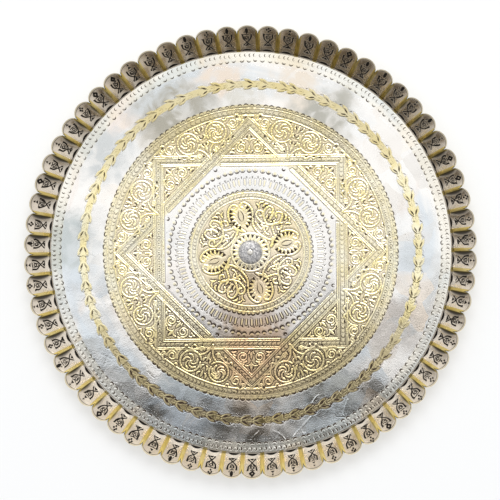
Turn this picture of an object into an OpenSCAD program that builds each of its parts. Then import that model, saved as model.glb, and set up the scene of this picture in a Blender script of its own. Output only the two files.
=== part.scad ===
// Round brass tray with a fluted rim and a riveted centre boss.
// Millimetres, +Z up. The origin is the centre of the flat underside, and
// the middle of one flute points along +Y.

/* [Tray] */
// Diameter across the tips of the flutes
tray_diameter = 454; // [360:2:600]
// Height of the flute tips above the resting plane
tray_height = 20; // [14:0.5:26]
// Thickness of the sheet brass
sheet = 1.2; // [0.8:0.1:1.6]

/* [Rim] */
// Number of flutes round the rim
flute_count = 66; // [48:2:80]
// Width of the rim, from the edge of the well disc to the flute tips
rim_width = 25.5; // [20:0.5:34]
// How far the notches between two flute tips lie inside the tips
notch_depth = 8; // [4:0.5:10]
// Height of the ridges above the bottoms of the flutes beside them
ridge_height = 4; // [2:0.5:6]

/* [Lap joint] */
// Overlap of the well disc on the rim's flange
lap_width = 8; // [5:0.5:12]
// Width of the solder in the corner between the disc and the flange
solder_width = 2; // [1:0.25:3]

/* [Centre] */
// Diameter of the cast boss
boss_diameter = 24; // [16:1:30]
// Height of the boss above the seat it stands on
boss_height = 5; // [4:0.5:8]
// Lift of the disc's centre above its floor, which makes room for the rivet's tail
seat_lift = 0.8; // [0.6:0.1:2]
// Diameter of the rivet's shank
rivet_diameter = 3.8; // [3:0.2:5]
// Diameter of the washer that the rivet is peened over
washer_diameter = 12; // [10:0.5:16]

/* [Hidden] */

$fn = 180;

tip_radius = tray_diameter / 2;
well_radius = tip_radius - rim_width;

// Lap joint: the disc lies flat on the rim's flange
flange_radius = well_radius - lap_width;
floor_bottom = sheet;
floor_top = 2 * sheet;
// Share of the flange's thickness that the solder's corner takes up
solder_fill = 0.75;

// Flutes
flute_start = well_radius + 1;
notch_radius = tip_radius - notch_depth;
flute_pitch = 360 / flute_count;
rings_per_flute = 4;
// Where a flute is sampled: -1 is its first ridge and 0 its middle, and the
// next flute's first ridge closes it
stations = [-1, -0.8, -0.4, 0, 0.4, 0.8];
steps_per_flute = len(stations);
// Exponent that keeps a flute's middle broad and makes its sides steep
scoop_power = 1.25;
// Exponent of the flute's rise: just over 1, so it curves up a little
rise_power = 1.1;
// Share of the flute's length in which a ridge grows to its full height
ridge_run = 0.5;
// Exponent that flattens the ridges out again towards the flute tips
ridge_fade = 4;
// The sheet's thickness measured upright where the rim slopes
slope_factor = 1.2;
slope_sheet = sheet * slope_factor;

// Centre seat: a flat raised disc with a sloped skirt
seat_radius = boss_diameter / 2 + 1;
skirt_width = 16;
seat_bottom = floor_bottom + seat_lift;
seat_top = floor_top + seat_lift;
rivet_radius = rivet_diameter / 2;
bore_radius = rivet_radius + 0.1;

// Boss and rivet
boss_radius = boss_diameter / 2;
boss_side = 0.8;
dimple_radius = 3.6;
dimple_depth = 0.9;
rivet_head_radius = 3;
rivet_head_height = 0.8;
rivet_tail_radius = 3.2;
rivet_tail_height = 0.6;
washer_thickness = 0.6;
dome_steps = 12;

brass = [0.80, 0.68, 0.40];
silvered = [0.80, 0.79, 0.76];
pewter = [0.55, 0.55, 0.56];
solder = [0.66, 0.67, 0.68];

// Points of a round dome's outline, from its rim at [radius, base] to its top
function dome_points(radius, base, height, inner) =
    let (start = acos(inner / radius))
    [for (i = [0:dome_steps])
        let (a = start * i / dome_steps)
        [radius * cos(a), base + height * sin(a)]];

// The sheet disc: a raised centre and a flat floor
module well_disc() {
    color(silvered)
        rotate_extrude()
            polygon([
                [bore_radius, seat_bottom],
                [seat_radius, seat_bottom],
                [seat_radius + skirt_width, floor_bottom],
                [well_radius, floor_bottom],
                [well_radius, floor_top],
                [seat_radius + skirt_width, floor_top],
                [seat_radius, seat_top],
                [bore_radius, seat_top]
            ]);
}

// Position across a flute at an angular step: -1 on its ridge, 0 in its middle
function across(step) = stations[step % steps_per_flute];

// Azimuth of an angular step
function azimuth(step) =
    (floor(step / steps_per_flute) + (across(step) + 1) / 2) * flute_pitch;

// A flute's cross-section: 0 in its middle, 1 on its rounded ridges
function scoop(s) = pow(sin(90 * pow(abs(s), scoop_power)), 2);

// Radius of the rim's outer edge, a round arch over each flute
function edge_radius(s) = notch_radius + notch_depth * sqrt(1 - s * s);

// Height of a ridge over the flute's bottom at a share u of the flute's length
function ridge_rise(u) = ridge_height * sin(90 * min(1, u / ridge_run));

// Height of the rim's upper face at radius r and position s across a flute
function rim_top(r, s) =
    let (
        u = (r - flute_start) / (tip_radius - flute_start),
        rise = (tray_height - sheet) * pow(u, rise_power),
        ridge = ridge_rise(u) * scoop(s) * (1 - pow(u, ridge_fade))
    )
    sheet + rise + ridge;

// Radius of ring j: the flange's inner edge, then evenly out to the flute's edge
function ring_radius(j, s) =
    j == 0 ? flange_radius
           : flute_start + (edge_radius(s) - flute_start) * (j - 1) / rings_per_flute;

// Upper point of ring j at angular step i
function rim_point(i, j) =
    let (s = across(i), r = ring_radius(j, s), a = azimuth(i))
    [r * cos(a), r * sin(a), j < 2 ? sheet : rim_top(r, s)];

// The point straight below it, on the sheet's underside
function under_point(i, j) =
    let (p = rim_point(i, j))
    [p[0], p[1], j < 2 ? 0 : p[2] - slope_sheet];

// The rim: a flat flange under the disc's edge, then the scooped flutes
module fluted_rim() {
    steps = flute_count * steps_per_flute;
    rings = rings_per_flute + 2;
    last = rings - 1;
    below = steps * rings;
    function at(i, j) = (i % steps) * rings + j;
    upper = [for (i = [0:steps - 1], j = [0:last]) rim_point(i, j)];
    lower = [for (i = [0:steps - 1], j = [0:last]) under_point(i, j)];
    top_faces = [for (i = [0:steps - 1], j = [0:last - 1]) each [
        [at(i, j), at(i + 1, j), at(i + 1, j + 1)],
        [at(i, j), at(i + 1, j + 1), at(i, j + 1)]
    ]];
    bottom_faces = [for (f = top_faces) [f[0] + below, f[2] + below, f[1] + below]];
    inner_wall = [for (i = [0:steps - 1])
        [at(i + 1, 0), at(i, 0), at(i, 0) + below, at(i + 1, 0) + below]];
    outer_wall = [for (i = [0:steps - 1])
        [at(i, last), at(i + 1, last), at(i + 1, last) + below, at(i, last) + below]];
    color(brass)
        polyhedron(
            points = concat(upper, lower),
            faces = concat(top_faces, bottom_faces, inner_wall, outer_wall),
            convexity = 6
        );
}

// The run of soft solder in the corner between the flange's edge and the disc
module solder_seam() {
    color(solder)
        rotate_extrude()
            polygon([
                [flange_radius, sheet],
                [flange_radius - solder_width, sheet],
                [flange_radius, sheet * (1 - solder_fill)]
            ]);
}

// The cast boss: a low dome with a dimple round the rivet's head
module centre_boss() {
    dome_base = seat_top + boss_side;
    dome_rise = boss_height - boss_side;
    dimple_floor = seat_top + boss_height - dimple_depth;
    color(pewter)
        rotate_extrude()
            polygon(concat(
                [[bore_radius, seat_top], [boss_radius, seat_top]],
                dome_points(boss_radius, dome_base, dome_rise, dimple_radius),
                [[rivet_head_radius, dimple_floor], [bore_radius, dimple_floor]]
            ));
}

// The rivet: a domed head in the dimple, a shank and a peened tail
module boss_rivet() {
    head_base = seat_top + boss_height - dimple_depth;
    tail_base = seat_bottom - washer_thickness;
    tail = [for (p = dome_points(rivet_tail_radius, 0, rivet_tail_height, rivet_radius))
        [p[0], tail_base - p[1]]];
    tail_outline = [for (i = [dome_steps:-1:0]) tail[i]];
    color(brass)
        rotate_extrude()
            polygon(concat(
                [[0, tail_outline[0][1]]],
                tail_outline,
                [[rivet_radius, tail_base], [rivet_radius, head_base]],
                dome_points(rivet_head_radius, head_base, rivet_head_height, rivet_radius / 2),
                [[0, head_base + rivet_head_height]]
            ));
}

// The washer under the disc, which the rivet is peened over
module back_washer() {
    color(brass)
        translate([0, 0, seat_bottom - washer_thickness])
            difference() {
                cylinder(h = washer_thickness, d = washer_diameter);
                translate([0, 0, -washer_thickness])
                    cylinder(h = 3 * washer_thickness, r = bore_radius);
            }
}

well_disc();
fluted_rim();
solder_seam();
centre_boss();
boss_rivet();
back_washer();
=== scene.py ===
import math

import bpy
import numpy as np
from mathutils import Matrix, Vector


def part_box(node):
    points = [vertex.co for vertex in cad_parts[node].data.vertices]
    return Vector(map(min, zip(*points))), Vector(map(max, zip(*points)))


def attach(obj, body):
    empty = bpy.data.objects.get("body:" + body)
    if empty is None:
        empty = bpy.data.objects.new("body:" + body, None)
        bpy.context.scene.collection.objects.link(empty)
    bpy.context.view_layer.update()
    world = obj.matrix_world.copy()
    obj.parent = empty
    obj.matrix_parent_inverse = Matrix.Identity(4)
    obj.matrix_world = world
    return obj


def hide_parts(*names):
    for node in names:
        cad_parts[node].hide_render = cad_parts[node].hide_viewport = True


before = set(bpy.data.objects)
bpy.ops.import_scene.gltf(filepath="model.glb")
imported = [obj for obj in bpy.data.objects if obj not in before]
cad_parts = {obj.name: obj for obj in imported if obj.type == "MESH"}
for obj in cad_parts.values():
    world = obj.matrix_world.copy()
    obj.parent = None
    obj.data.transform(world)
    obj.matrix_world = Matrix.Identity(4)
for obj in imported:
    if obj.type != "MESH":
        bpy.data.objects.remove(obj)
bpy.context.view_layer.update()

rng = np.random.default_rng(66)

# --- Sizes in millimetres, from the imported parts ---
MM = 0.001


def corners(node):
    """The lower and the upper corner of a CAD node's box."""
    return [np.array(corner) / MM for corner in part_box(node)]


DISC, RIM, BOSS = (corners(node) for node in ("well_disc", "fluted_rim", "centre_boss"))
WELL_R, FLOOR_BOTTOM = DISC[1][0], DISC[0][2]
TIP_R, TRAY_H = RIM[1][1:]
BOSS_R, BOSS_TOP, SEAT_Z = BOSS[1][0], BOSS[1][2], BOSS[0][2]
SHEET = SEAT_Z - corners("back_washer")[1][2]
FLANGE_R = corners("solder_seam")[1][0]
FLOOR_TOP = FLOOR_BOTTOM + SHEET
SEAT_LIFT = SEAT_Z - FLOOR_TOP

# The same construction values as the CAD source
BORE_R = 2.0
SEAT_R = BOSS_R + 1.0
SKIRT_W = 16.0
SOLDER_W = 2.0
BOSS_SIDE = 0.8
DIMPLE_R = 3.6
DIMPLE_DEPTH = 0.9
RIVET_R = 3.0
FLUTES = 66
FLUTE_START = WELL_R + 1.0
NOTCH_DEPTH = 8.0
RIDGE_H = 4.0
RIDGE_RUN = 0.5
RIDGE_FADE = 4.0
RISE_POWER = 1.1
SCOOP_POWER = 1.25
SLOPE_SHEET = SHEET * 1.2

# The ornament is laid out in units, on a disc of 200.3 units radius
UNIT = WELL_R / 200.3
# Spacing of the disc's mesh
GRID = 0.42


# --- Paths ---
def arc(centre, radius, start=0.0, end=360.0, spacing=0.7):
    count = max(5, int(abs(math.radians(end - start)) * radius / spacing) + 2)
    a = np.radians(np.linspace(start, end, count))
    return np.stack([centre[0] + radius * np.cos(a), centre[1] + radius * np.sin(a)], 1)


def spiral(centre, outer, inner, start, sweep):
    count = max(10, int(abs(math.radians(sweep)) * max(outer, inner) / 0.9))
    t = np.linspace(0, 1, count)
    a, r = np.radians(start + sweep * t), outer + (inner - outer) * t
    return np.stack([centre[0] + r * np.cos(a), centre[1] + r * np.sin(a)], 1)


def line(p0, p1, spacing=1.5):
    p0, p1 = np.array(p0, float), np.array(p1, float)
    count = max(2, int(np.hypot(*(p1 - p0)) / spacing) + 1)
    return p0 + (p1 - p0) * np.linspace(0, 1, count)[:, None]


def spot(centre):
    """A path too short to see, whose stroke is a round dot."""
    return np.array([centre, np.array(centre) + 0.01])


def curve(points, spacing=0.8):
    """A smooth path through the points."""
    p = np.asarray(points, float)
    p = np.concatenate([[2 * p[0] - p[1]], p, [2 * p[-1] - p[-2]]])
    parts = []
    for a, b, c, d in zip(p[:-3], p[1:-2], p[2:-1], p[3:]):
        t = np.linspace(0, 1, max(3, int(np.hypot(*(c - b)) / spacing) + 1), endpoint=False)[:, None]
        parts.append(b + 0.5 * t * (c - a + t * (2 * a - 5 * b + 4 * c - d + t * (3 * (b - c) + d - a))))
    return np.concatenate(parts + [p[-2:-1]])


def polar(points):
    """(across, out) pairs from pairs of an azimuth offset in degrees and a radius."""
    p = np.asarray(points, float)
    a = np.radians(p[:, 0])
    return np.stack([p[:, 1] * np.sin(a), p[:, 1] * np.cos(a)], 1)


def taper(count, full, tip=0.25):
    """Half widths of a leaf: thin at both ends and full in the middle."""
    return full * (tip + (1 - tip) * np.sin(np.pi * np.linspace(0, 1, count)))


def placed(azimuth, wobble=0.0):
    """A function that moves (across, out) points to the tray, where out runs along azimuth."""
    a = math.radians(azimuth + wobble * rng.normal())
    shift = wobble * rng.normal(size=2)

    def move(path):
        across, out = (np.asarray(path, float).reshape(-1, 2) + shift).T
        x = out * math.cos(a) - across * math.sin(a)
        return np.stack([x, out * math.sin(a) + across * math.cos(a)], 1)

    return move


def smooth(low, high, x):
    t = np.clip((x - low) / (high - low), 0, 1)
    return t * t * (3 - 2 * t)


def shade_widening(centre):
    """How wide a punch mark is at its place on the tray: the marks are wider towards -Y, as painted shade."""
    return 0.74 + 0.6 * smooth(0.40, 0.9, -centre[1] / max(np.hypot(centre[0], centre[1]), 1.0))


# --- The chaser's drawing: layers of relief and colour on a square grid ---
class Relief:
    CHUNK = 6
    GROOVE_WIDTH = 0.8
    LAYERS = ("raised", "sunk", "shade", "dark", "gold")

    def __init__(self, low, high, step):
        self.step = step
        self.x, self.y = (np.arange(low[k], high[k] + step, step, dtype=np.float32) for k in (0, 1))
        self.layers = {name: np.zeros((len(self.y), len(self.x)), np.float32) for name in self.LAYERS}

    def window(self, low, high):
        """The grid between two corners: its slices, and the x and y of its points."""
        x, y = (slice(max(int((low[k] - axis[0]) / self.step), 0),
                      max(int((high[k] - axis[0]) / self.step) + 2, 0))
                for k, axis in enumerate((self.x, self.y)))
        return (y, x), self.x[x][None, :], self.y[y][:, None]

    def put(self, where, name, value):
        layer = self.layers[name]
        layer[where] = np.maximum(layer[where], value)

    def stroke(self, path, width, groove=0.0, wipe=False, **layers):
        """Draws along a path; width is the half width, one number or one for each point."""
        path = np.asarray(path, np.float32)
        width = np.broadcast_to(np.asarray(width, np.float32), len(path))
        reach = 3 * self.GROOVE_WIDTH if groove else self.step
        for first in range(0, len(path) - 1, self.CHUNK):
            p = path[first:first + self.CHUNK + 1]
            w = width[first:first + self.CHUNK + 1]
            margin = w.max() + reach
            where, gx, gy = self.window(p.min(0) - margin, p.max(0) + margin)
            if gx.size == 0 or gy.size == 0:
                continue
            edge, inside = np.inf, -np.inf
            for a, b, wa, wb in zip(p[:-1], p[1:], w[:-1], w[1:]):
                run = b - a
                t = ((gx - a[0]) * run[0] + (gy - a[1]) * run[1]) / max(float(run @ run), 1e-6)
                t = np.clip(t, 0, 1)
                away = np.hypot(gx - a[0] - t * run[0], gy - a[1] - t * run[1])
                half = wa + (wb - wa) * t + 1e-4
                edge, inside = np.minimum(edge, away - half), np.maximum(inside, 1 - away / half)
            mask = np.clip(0.5 - edge / (2 * self.step), 0, 1)
            body = np.sqrt(np.clip(1 - (1 - np.clip(1.7 * inside, 0, 1)) ** 2, 0, 1))
            if wipe:
                self.layers["dark"][where] *= 1 - mask
                self.layers["sunk"][where] *= 1 - mask
            for name, amount in layers.items():
                self.put(where, name, amount * (body if name in ("raised", "sunk") else mask))
            # The sides of each groove also go into the shade layer: painted shade beside the raised line.
            if groove:
                side = np.exp(-((edge - 0.5 * self.GROOVE_WIDTH) / self.GROOVE_WIDTH) ** 2) * (edge > 0)
                self.put(where, "sunk", groove * side)
                self.put(where, "shade", min(1.0, 5 * groove) * side)

    def facet(self, points, **layers):
        """Fills a convex outline."""
        p = np.asarray(points, np.float32)
        where, gx, gy = self.window(p.min(0) - self.step, p.max(0) + self.step)
        if gx.size == 0 or gy.size == 0:
            return
        turn = np.sign(sum(a[0] * b[1] - a[1] * b[0] for a, b in zip(p, np.roll(p, -1, 0))))
        depth = np.inf
        for a, b in zip(p, np.roll(p, -1, 0)):
            run = (b - a) / max(float(np.hypot(*(b - a))), 1e-6)
            depth = np.minimum(depth, turn * (run[0] * (gy - a[1]) - run[1] * (gx - a[0])))
        mask = np.clip(0.5 + depth / (2 * self.step), 0, 1)
        for name, amount in layers.items():
            self.put(where, name, amount * mask)

    def wire(self, path, width=0.6, lift=0.4, gold=1.0, groove=0.25):
        """A raised brass line with a chased groove along each side."""
        self.stroke(path, width, raised=lift, gold=gold, groove=groove)

    def leaf(self, path, full):
        self.wire(path, taper(len(path), full), 0.45)

    def crescent(self, centre, radius, facing, spread, width, dark=1.0, gold=0.0):
        """The mark of a C-shaped punch, whose open side is turned away from facing."""
        path = arc(centre, radius, facing - spread, facing + spread, 0.6)
        self.stroke(path, taper(len(path), width * shade_widening(centre), 0.35), sunk=0.07, dark=dark)
        self.stroke(spot(centre), 0.6 * radius, raised=0.07, gold=gold)

    def sample(self, x, y, *names):
        """The named layers' values at points, between grid points by straight lines."""
        fx = np.clip((x - self.x[0]) / self.step, 0, len(self.x) - 1.001)
        fy = np.clip((y - self.y[0]) / self.step, 0, len(self.y) - 1.001)
        ix, iy = fx.astype(np.int32), fy.astype(np.int32)
        tx, ty = fx - ix, fy - iy
        for layer in (self.layers[name] for name in names):
            near = layer[iy, ix] * (1 - tx) + layer[iy, ix + 1] * tx
            far = layer[iy + 1, ix] * (1 - tx) + layer[iy + 1, ix + 1] * tx
            yield near * (1 - ty) + far * ty


def wave_field(count, short, long, seed):
    """A smooth random field with wavelengths from short to long millimetres and unit spread."""
    draw = np.random.default_rng(seed)
    length = np.exp(draw.uniform(math.log(short), math.log(long), count))
    heading, phase = draw.uniform(0, 2 * math.pi, count), draw.uniform(0, 2 * math.pi, count)
    weight = length / np.sqrt((length ** 2).sum() / 2)

    def field(x, y):
        return sum(w * np.sin(2 * math.pi / l * (x * math.cos(h) + y * math.sin(h)) + p)
                   for w, l, h, p in zip(weight, length, heading, phase))

    return field


# --- The well's ornament, in units from the centre ---
STAR_IN, STAR_OUT = 86.5, 96.8
STAR_MIDDLE = (STAR_IN + STAR_OUT) / 2
FIELD_R = 136.3
WREATH_R = 168.2
MEDALLION_AZIMUTH = 13.8
DRAWN_HALF, DRAWN_STEP = 203, 0.25
well = Relief((-DRAWN_HALF, -DRAWN_HALF), (DRAWN_HALF, DRAWN_HALF), DRAWN_STEP)


def ring_line(radius, width, lift, gold, groove=0.14):
    well.wire(arc((0, 0), radius, 0, 360, 1.2), width, lift, gold, groove)


def punch_ring(radius, count, size, facing, spread, width, gold=0.0, wobble=0.15):
    """A ring of C-shaped punch marks; facing is the angle of the C's back from outward."""
    for k in range(count):
        azimuth = 360 * (k + 0.09 * rng.normal()) / count
        r = radius + wobble * rng.normal()
        centre = r * np.array([math.cos(math.radians(azimuth)), math.sin(math.radians(azimuth))])
        turn = azimuth + facing + 8 * rng.normal()
        well.crescent(centre, size * rng.uniform(0.9, 1.1), turn, spread, width, rng.uniform(0.75, 1.0), gold)


def bead(centre, size, gold, dark, facing):
    """A small bead in an open ring."""
    ring = arc(centre, size, facing - 140, facing + 140, 0.7)
    dark = min(1.0, dark * rng.uniform(0.7, 1.3))
    well.stroke(ring, taper(len(ring), 0.34 * shade_widening(centre), 0.3), sunk=0.1, dark=dark)
    well.stroke(spot(centre), 0.72 * size, raised=0.12, gold=gold)


def bead_row(radius, count, size, gold, dark):
    for k in range(count):
        azimuth = math.radians(360 * (k + 0.12 * rng.normal()) / count)
        centre = (radius + 0.2 * rng.normal()) * np.array([math.cos(azimuth), math.sin(azimuth)])
        bead(centre, size, gold, dark, math.degrees(azimuth) + 90)


def draw_sunburst():
    """The ring of triangular punches round the boss."""
    count = 22
    for k in range(count):
        move = placed(360 * (k + 0.1 * rng.normal()) / count, 0.1)
        well.facet(move([(-1.5, 17.5), (1.5, 17.5), (0.1, 14.2)]), sunk=0.3, dark=1.0)
        petal = placed(360 * (k + 0.5) / count)(line((0, 13.2), (0, 17.4), 0.7))
        well.stroke(petal, 0.7, raised=0.2, gold=0.9)
    ring_line(19.0, 0.85, 0.4, 0.7)


def draw_medallion(azimuth):
    """A leaf with black punches between its teeth, in a heart whose one side runs on round the boss."""
    move = placed(azimuth, 0.2)
    body = line((0, 26.0), (0, 43.0), 1.0)
    half_width = 0.8 + 7.4 * np.sin(0.68 * np.pi * np.linspace(0, 1, len(body)))
    well.stroke(move(body), half_width, raised=0.1, gold=0.5)
    heart = np.array([(0.8, 21.5), (6.4, 25.2), (11.0, 31.2), (12.4, 38.5), (10.8, 45.4), (6.6, 49.8),
                      (2.9, 49.4), (1.7, 46.9), (3.4, 45.2)])
    for hand in (-1, 1):
        side = curve(heart * (hand, 1))
        for k in range(6):
            at = int(len(side) * (0.12 + 0.105 * k))
            along = side[at + 1] - side[at - 1]
            along = 1.95 * rng.uniform(0.9, 1.1) * along / np.hypot(*along)
            inward = np.array([-along[1], along[0]]) * hand / np.hypot(*along)
            root = side[at] + 1.2 * inward
            well.facet(move([root + along, root - along, root + 4.3 * inward]), sunk=0.15, dark=1.0)
            tooth = side[min(at + int(0.0525 * len(side)), len(side) - 1)]
            lobe = curve([tooth + far * inward + (0, drop)
                          for far, drop in ((1.6, 0), (4.2, -0.8), (6.6, -2.6))])
            well.stroke(move(lobe), taper(len(lobe), 1.25, 0.35), raised=0.3, gold=0.9, groove=0.2)
    almond = line((0, 31.5), (0, 43.5), 1.0)
    well.stroke(move(almond), taper(len(almond), 3.3, 0.2), wipe=True)
    well.stroke(move(almond), taper(len(almond), 3.0, 0.1), sunk=0.12, dark=0.95)
    well.stroke(move(almond), taper(len(almond), 2.0, 0.1), wipe=True)
    well.wire(move(curve(heart)), 0.95, 0.5)
    trail = polar([(-20.7, 28.0), (-38, 21.4), (-62, 21.4), (-73, 24.6), (-70, 27.4)])
    well.wire(move(curve(np.concatenate([(heart * (-1, 1))[:2:-1], trail]))), 0.95, 0.5)


def comma(move, root, tip, bend, full=0.95):
    """A small curved leaf from its root to its tip, with a black cut in its hollow."""
    root, tip = np.array(root, float), np.array(tip, float)
    run = tip - root
    side = np.array([-run[1], run[0]])
    middle = (root + tip) / 2 + bend * side
    well.leaf(move(curve([root, middle, tip])), full)
    hollow = -math.copysign(full + 0.65, bend) * side / np.hypot(*run)
    cut = curve([root + 0.2 * run, middle, root + 0.85 * run]) + hollow
    well.stroke(move(cut), taper(len(cut), 0.55, 0.2), sunk=0.15, dark=1.0)


def draw_arabesque(azimuth):
    """Stems, a heart-shaped palmette and curls between two medallions; azimuth is the first one's."""
    move = placed(azimuth, 0.2)

    def stem(points, width=0.8, lift=0.45):
        well.wire(move(curve(polar(points))), width, lift)

    def chip(points, sunk=0.35, dark=0.9):
        well.facet(move(polar(points)), sunk=sunk, dark=dark)

    stem([(1, 21.3), (9.4, 25.4), (19, 29.0), (29.3, 31.1), (36, 34.0), (35, 38.5), (29, 41.5), (24.0, 39.0),
          (25.5, 35.6), (29.5, 36.5)], 0.9, 0.5)
    for hand in (-1, 1):
        def halfway(*points):
            """Points on one side of the line halfway between the medallions."""
            return [(45 + hand * turn, out) for turn, out in points]

        stem(halfway((0, 32.0), (9.5, 37.0), (12.5, 43.5), (9.0, 49.6), (3.6, 49.0), (2.4, 45.6),
                     (5.6, 43.6)), 0.9, 0.5)
        chip(halfway((3.2, 35.4), (6.6, 38.2), (3.4, 38.4)), 0.4)
        chip(halfway((14.2, 44.8), (17.2, 46.6), (14.4, 47.6)), dark=0.8)
        for root, tip, bend, full in (((1.2, 36.5), (6.5, 41.4), -0.25, 1.0),
                                      ((13, 38.0), (17, 43.6), 0.2, 0.95),
                                      ((15.5, 46.5), (10.5, 51.8), -0.25, 0.95),
                                      ((21, 48.5), (16, 52.0), -0.2, 0.8),
                                      ((20, 44.0), (24, 49.2), 0.2, 0.8)):
            comma(move, *polar(halfway(root, tip)), bend * hand, full)
    stem([(46, 33.0), (53, 31.6), (60, 33.2), (67, 37.0), (66, 41.8), (60.5, 42.4), (58.6, 38.6), (62, 37.4)],
         0.85, 0.5)
    stem([(30, 25.2), (37, 24.6), (44, 26.2), (47.5, 29.4), (41.5, 30.4), (40.0, 27.6)])
    stem([(67, 31.0), (62, 28.6), (56, 26.6), (50.5, 25.6), (50, 28.6), (54.5, 29.6)])
    comma(move, *polar([(14, 31.5), (23.0, 34.6)]), 0.2, 0.9)
    comma(move, *polar([(70, 33.0), (73.4, 37.5)]), -0.2, 0.8)
    chip([(20, 33.4), (23.4, 36.6), (17.8, 36.0)])
    chip([(56.5, 29.0), (61.5, 30.4), (57.5, 31.0)])
    drop = line((0, 36.0), (0, 47.0), 1.0)
    leaf = placed(azimuth + 45)
    well.stroke(leaf(drop), taper(len(drop), 1.3, 0.1), raised=0.45, gold=0.9, groove=0.25)
    well.facet(leaf([(-1.1, 23.6), (1.1, 23.6), (0, 21.6)]), sunk=0.35, dark=0.9)


def draw_border():
    """The narrow border round the rosette."""
    ring_line(53.8, 0.5, 0.25, 0.8)
    bead_row(56.6, 92, 1.25, gold=0.6, dark=0.95)
    ring_line(59.5, 0.5, 0.25, 0.9)
    punch_ring(60.9, 78, 1.9, 0, 85, 0.7, gold=0.7, wobble=0.12)


def draw_tongue_and_dart():
    """A ring of upright tongues and darts in the plain band."""
    count, foot, shoulder = 84, 67.4, 72.8
    for k in range(count):
        move = placed(360 * (k + 0.08 * rng.normal()) / count, 0.1)
        half = 1.25 * rng.uniform(0.85, 1.1)
        top = shoulder + rng.uniform(-0.4, 0.4)
        tongue = move(np.concatenate([line((-half, foot), (-half, top), 1.4),
                                      arc((0, top), half, 180, 0, 0.8)[1:],
                                      line((half, top), (half, foot), 1.4)[1:]]))
        # Tongue outlines and darts are wider and darker towards -Y, as painted shade.
        cut = shade_widening(tongue[0])
        well.stroke(tongue, 0.22 + 0.2 * cut, sunk=0.1, dark=rng.uniform(0.5, 0.8) * cut)
        well.stroke(move(line((0, foot + 0.4), (0, shoulder - 0.2), 1.2)), 0.6, raised=0.2, gold=0.6)
        dart = placed(360 * (k + 0.5) / count, 0.08)
        well.facet(dart([(-0.9 * cut, 75.6), (0.9 * cut, 75.6), (0, 73.0)]), sunk=0.25, dark=0.85)


def star_band(turn, low, high):
    """One stretch of one side of the star: double lines with a row of beads between them."""
    move = placed(turn)
    for offset, width in ((STAR_IN + 0.3, 0.62), (STAR_IN + 2.0, 0.40),
                          (STAR_OUT - 2.0, 0.40), (STAR_OUT - 0.3, 0.62)):
        ends = (max(low, -offset), offset), (min(high, offset), offset)
        well.wire(move(line(*ends)), width, 0.45, 0.85, 0.24)
    low, high = max(low, -STAR_MIDDLE), min(high, STAR_MIDDLE)
    count = max(1, round((high - low) / 4.6))
    for k in range(count):
        across = low + (high - low) * (k + 0.5) / count
        centre = move([(across + 0.15 * rng.normal(), STAR_MIDDLE + 0.15 * rng.normal())])[0]
        bead(centre, 1.5, gold=0.75, dark=0.8, facing=turn - 90)


def draw_star():
    """Two interlaced squares: each side passes over the other square once and under it once."""
    crossing = STAR_MIDDLE * math.tan(math.radians(22.5))
    gap = (STAR_OUT - STAR_IN) / 2 / math.cos(math.radians(45)) + 2.2
    far = 2 * STAR_OUT
    for turn in range(0, 360, 45):
        star_band(turn, -far, crossing - gap)
        star_band(turn, crossing + gap, far)


def draw_whirl(move, centre, radius, start, hand, leaves):
    """A round scroll: an open ring with comma leaves whirling inside it round a bud."""
    centre = np.array(centre, float)
    well.wire(move(spiral(centre, radius, 0.88 * radius, start, hand * 345)), 0.078 * radius, 0.5)

    def inside(angle, reach):
        a = math.radians(start + hand * angle)
        return centre + reach * radius * np.array([math.cos(a), math.sin(a)])

    for k in range(leaves):
        angle = 360 * k / leaves + 6 * rng.normal()
        leaf = curve([inside(angle + turn, reach)
                      for turn, reach in ((0, 0.16), (34, 0.36), (66, 0.57), (92, 0.66))])
        well.wire(move(leaf), np.linspace(0.03, 0.10, len(leaf)) * radius, 0.45)
    well.wire(move(spot(centre)), 0.11 * radius, 0.5, groove=0.3)


def draw_volute(move, centre, radius, start, hand, turns=1.4, width=0.7):
    """A stem that winds inward to a bud."""
    path = spiral(centre, radius, 0.3 * radius, start, hand * 360 * turns)
    well.wire(move(path), np.linspace(width, 0.75 * width, len(path)), 0.5)
    well.wire(move(spot(path[-1])), 1.6 * width, 0.5, groove=0.3)


def draw_field(azimuth, wobble, stems, volutes, leaves, chips, spikes, full, whirl=None):
    """Scrollwork in a field of the star, mirrored about azimuth, from the tables of its parts."""
    move = placed(azimuth, wobble)
    for hand in (-1, 1):
        side = np.array([hand, 1])
        if whirl:
            draw_whirl(move, whirl * side, 10.8 * rng.uniform(0.94, 1.06), -90 - 60 * hand, hand,
                       5 + rng.integers(3))
        for points, width, lift in stems:
            well.wire(move(curve(points * side)), width, lift)
        for centre, radius, start, wind, turns, width in volutes:
            draw_volute(move, centre * side, radius, 90 + start * hand, wind * hand, turns, width)
        for root, tip, bend in leaves:
            comma(move, root * side, tip * side, bend * hand, full)
        for corner, sunk, dark in chips:
            well.facet(move(corner * side), sunk=sunk, dark=dark)
    for low, high, width in spikes:
        well.leaf(move(line((0, low), (0, high), 1.0)), width)


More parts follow.
